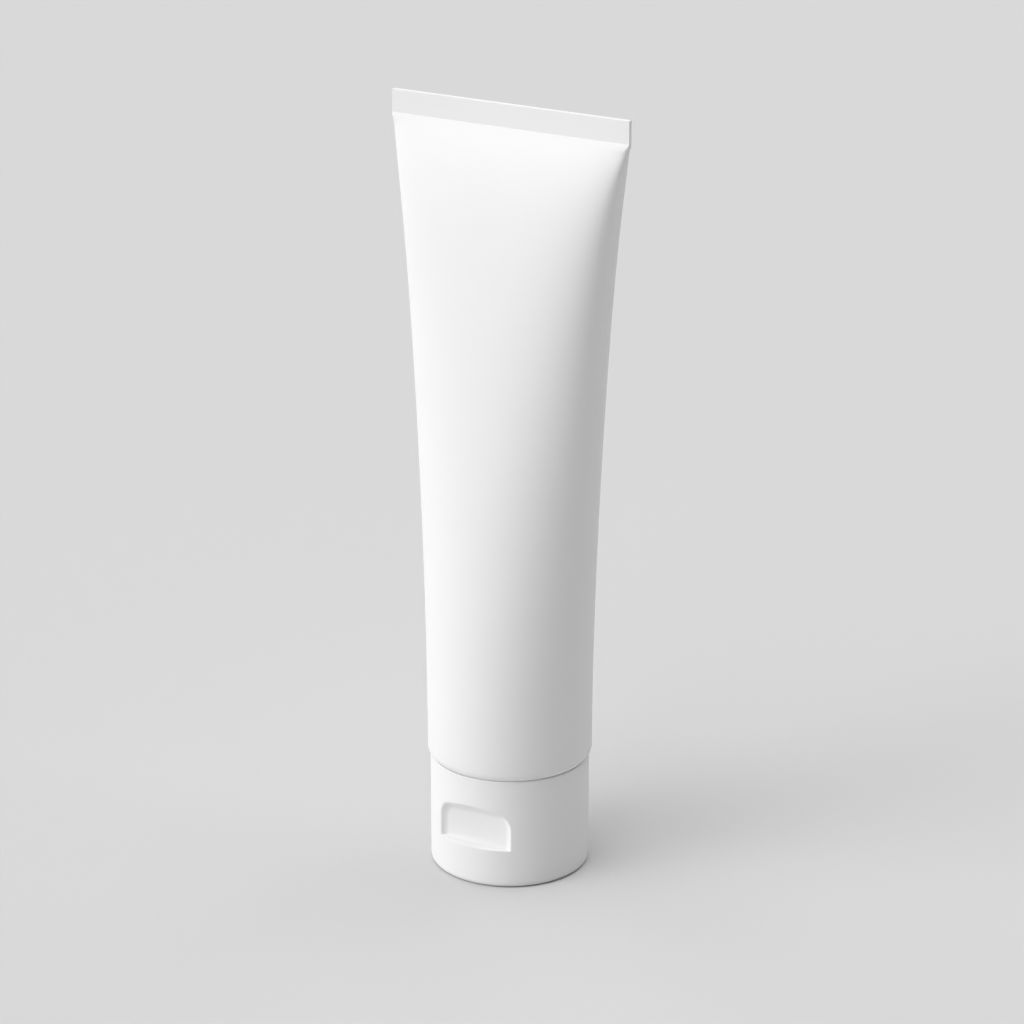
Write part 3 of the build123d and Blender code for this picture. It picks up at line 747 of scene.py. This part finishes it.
class Finish:
    """A material with a Principled shader, and one method that adds any other node."""

    def __init__(self, name, constants):
        self.material = bpy.data.materials.new(name)
        self.material.use_nodes = True
        self.tree = self.material.node_tree
        self.shader = self.tree.nodes["Principled BSDF"]
        for socket, value in constants.items():
            self.shader.inputs[socket].default_value = value

    def add(self, kind, settings=None, values=None, output=0):
        """Adds a node of a kind, sets its settings, then its sockets, and returns one of its outputs."""
        node = self.tree.nodes.new("ShaderNode" + kind)
        for key, value in (settings or {}).items():
            setattr(node, key, value)
        for key, value in (values or {}).items():
            if isinstance(value, Varying):
                self.tree.links.new(value.socket, node.inputs[key])
            else:
                node.inputs[key].default_value = value
        return Varying(self, node.outputs[output])

    def feed(self, **varying):
        """Links varying values to the shader, by socket name with _ for a space."""
        for socket, value in varying.items():
            self.tree.links.new(value.socket, self.shader.inputs[socket.replace("_", " ")])

    def noise(self, scale, detail=2.0, stretched=(1.0, 1.0, 1.0)):
        """Noise on the object's own coordinates, with features about 1 / scale metres across."""
        place = self.add("TexCoord", output=3)
        mapped = self.add("Mapping", None, {"Vector": place, "Scale": stretched})
        return self.add("TexNoise", None, {"Vector": mapped, "Scale": scale, "Detail": detail})

    def paint(self, first, second, amount):
        """Colour between two, by a varying amount."""
        values = {0: amount, 6: (*first, 1.0), 7: (*second, 1.0)}
        return self.add("Mix", {"data_type": "RGBA"}, values, output=2)

    def bump(self, height, depth):
        """Normal from a height field that is depth metres high."""
        return self.add("Bump", None, {"Height": height, "Strength": 1.0, "Distance": depth})


# %% [markdown]
# ## Sleeve film
#
# Extruded film has a soft satin face. Its long waves come from the die and run up the tube, its grain is a
# few hundredths of a millimetre, and handling leaves patches that are a touch smoother. None of it may show
# as a colour from a step away, so each is kept just above what the eye can find.

# %% Sleeve finish
DULLER_WHITE = (0.885, 0.885, 0.885)
PURER_WHITE = (0.905, 0.905, 0.905)

film = Finish("satin_film", {"Specular IOR Level": 0.35, "IOR": 1.5})
die_lines = film.noise(900, 2.0, (1.0, 1.0, 0.03))
grain = film.noise(9000, 3.0)
patches = film.noise(60, 2.0)
film.feed(
    Base_Color=film.paint(DULLER_WHITE, PURER_WHITE, patches),
    Roughness=0.56 + 0.12 * patches + 0.05 * grain,
    Normal=film.bump(die_lines * 0.7 + grain * 0.3, 0.0000035),
)
sleeve.data.materials.append(film.material)

# %% [markdown]
# ## Moulded cap
#
# The mould is spark eroded, which leaves an even pitted texture of about a tenth of a millimetre that hides
# flow marks and finger marks. A fractal noise alone looks like dust. Rounded cells with a little noise on top
# come closer to overlapping spark pits.

# %% Cap finish
moulded = Finish("spark_eroded_plastic", {"Specular IOR Level": 0.35, "IOR": 1.5})
place = moulded.add("TexCoord", output=3)
pit_values = {"Vector": place, "Scale": 9000.0, "Smoothness": 0.6}
pits = moulded.add("TexVoronoi", {"feature": "SMOOTH_F1"}, pit_values)
fine = moulded.noise(16000, 2.0)
flow = moulded.noise(110, 2.0, (1.0, 1.0, 0.5))
moulded.feed(
    Base_Color=moulded.paint(DULLER_WHITE, PURER_WHITE, flow),
    Roughness=0.6 + 0.1 * flow + 0.06 * fine,
    Normal=moulded.bump(pits * 0.6 + fine * 0.4, 0.000005),
)
for piece in (lid, base, straps):
    piece.data.materials.append(moulded.material)

# %% [markdown]
# ## Inside pieces
#
# The tube's head stays a CAD piece, because the sleeve and the cap hide all of it, and of the cream only the
# disc behind the orifice shows. They still get finishes: natural polyethylene with faint cloudiness for the
# head, and a smooth, faintly pink gloss for the cream.

# %% Head and cream finishes
natural = Finish("natural_polyethylene", {"Specular IOR Level": 0.4})
cloud = natural.noise(200, 3.0)
natural.feed(
    Base_Color=natural.paint((0.84, 0.84, 0.82), (0.88, 0.88, 0.87), cloud),
    Roughness=0.45 + 0.15 * cloud,
    Normal=natural.bump(cloud, 0.000008),
)
paste = Finish("smooth_cream", {"Specular IOR Level": 0.5, "Coat Weight": 0.2, "Coat Roughness": 0.15})
streaks = paste.noise(260, 2.0, (1.0, 1.0, 0.3))
paste.feed(
    Base_Color=paste.paint((0.86, 0.72, 0.69), (0.9, 0.78, 0.75), streaks),
    Roughness=0.28 + 0.15 * streaks,
    Normal=paste.bump(streaks, 0.00004),
)
head = frame["nodes"]["tube_head"]
head.data.materials.clear()
head.data.materials.append(natural.material)
cream.data.materials.append(paste.material)

# %% [markdown]
# ## Floor and light
#
# The object stands on a wide pale sheet. The light comes mostly from a broad low bank on the left and from
# overhead, and weaker suns from the other sides fill in. The world itself stays black, so each part of the
# light is a lamp that can be turned up or down by itself. Area lamps would leave bright pools on the sheet,
# so wide suns are used: their light is parallel, the sheet stays even from edge to edge, and their angle sets
# how soft the shadow is. The strengths were fitted to the brightness of the photograph.

# %% Floor
FLOOR_HALF_SIDE = 20.0
floor_mesh = bpy.data.meshes.new("floor")
corners = np.array([(-1, -1, 0), (1, -1, 0), (1, 1, 0), (-1, 1, 0)]) * FLOOR_HALF_SIDE
floor_mesh.from_pydata(corners, [], [(0, 1, 2, 3)])
floor = bpy.data.objects.new("floor", floor_mesh)
bpy.context.scene.collection.objects.link(floor)
PALE_GREY = (0.605, 0.605, 0.605, 1.0)
sheet = Finish("pale_sheet", {"Base Color": PALE_GREY, "Roughness": 0.9, "Specular IOR Level": 0.0})
floor_mesh.materials.append(sheet.material)

# %% Lights
world = bpy.data.worlds.new("black")
world.use_nodes = True
world.node_tree.nodes["Background"].inputs["Strength"].default_value = 0.0
bpy.context.scene.world = world
bpy.context.scene.view_settings.view_transform = "Standard"


def add_sun(name, around, above_floor, spread, strength):
    """Sun from a direction: degrees round from the camera's own side, to its right, and above the floor."""
    turn = AZIMUTH + math.radians(around)
    rise = math.radians(above_floor)
    data = bpy.data.lights.new(name, "SUN")
    data.energy = strength
    data.angle = math.radians(spread)
    lamp = bpy.data.objects.new(name, data)
    lamp.rotation_euler = (math.pi / 2 - rise, 0, turn)
    bpy.context.scene.collection.objects.link(lamp)


add_sun("left_bank", -75, 8, 50, 1.74)
add_sun("left_rear_bank", -135, 8, 50, 0.8)
add_sun("key", -45, 45, 50, 0.7)
add_sun("soft_box", -60, 30, 25, 0.2)
add_sun("overhead", 0, 89, 50, 1.6)
add_sun("high_left", -75, 65, 50, 0.36)
add_sun("right_rear", 105, 45, 50, 0.48)
add_sun("rear", 150, 45, 50, 0.35)
add_sun("right_fill", 60, 25, 50, 0.09)
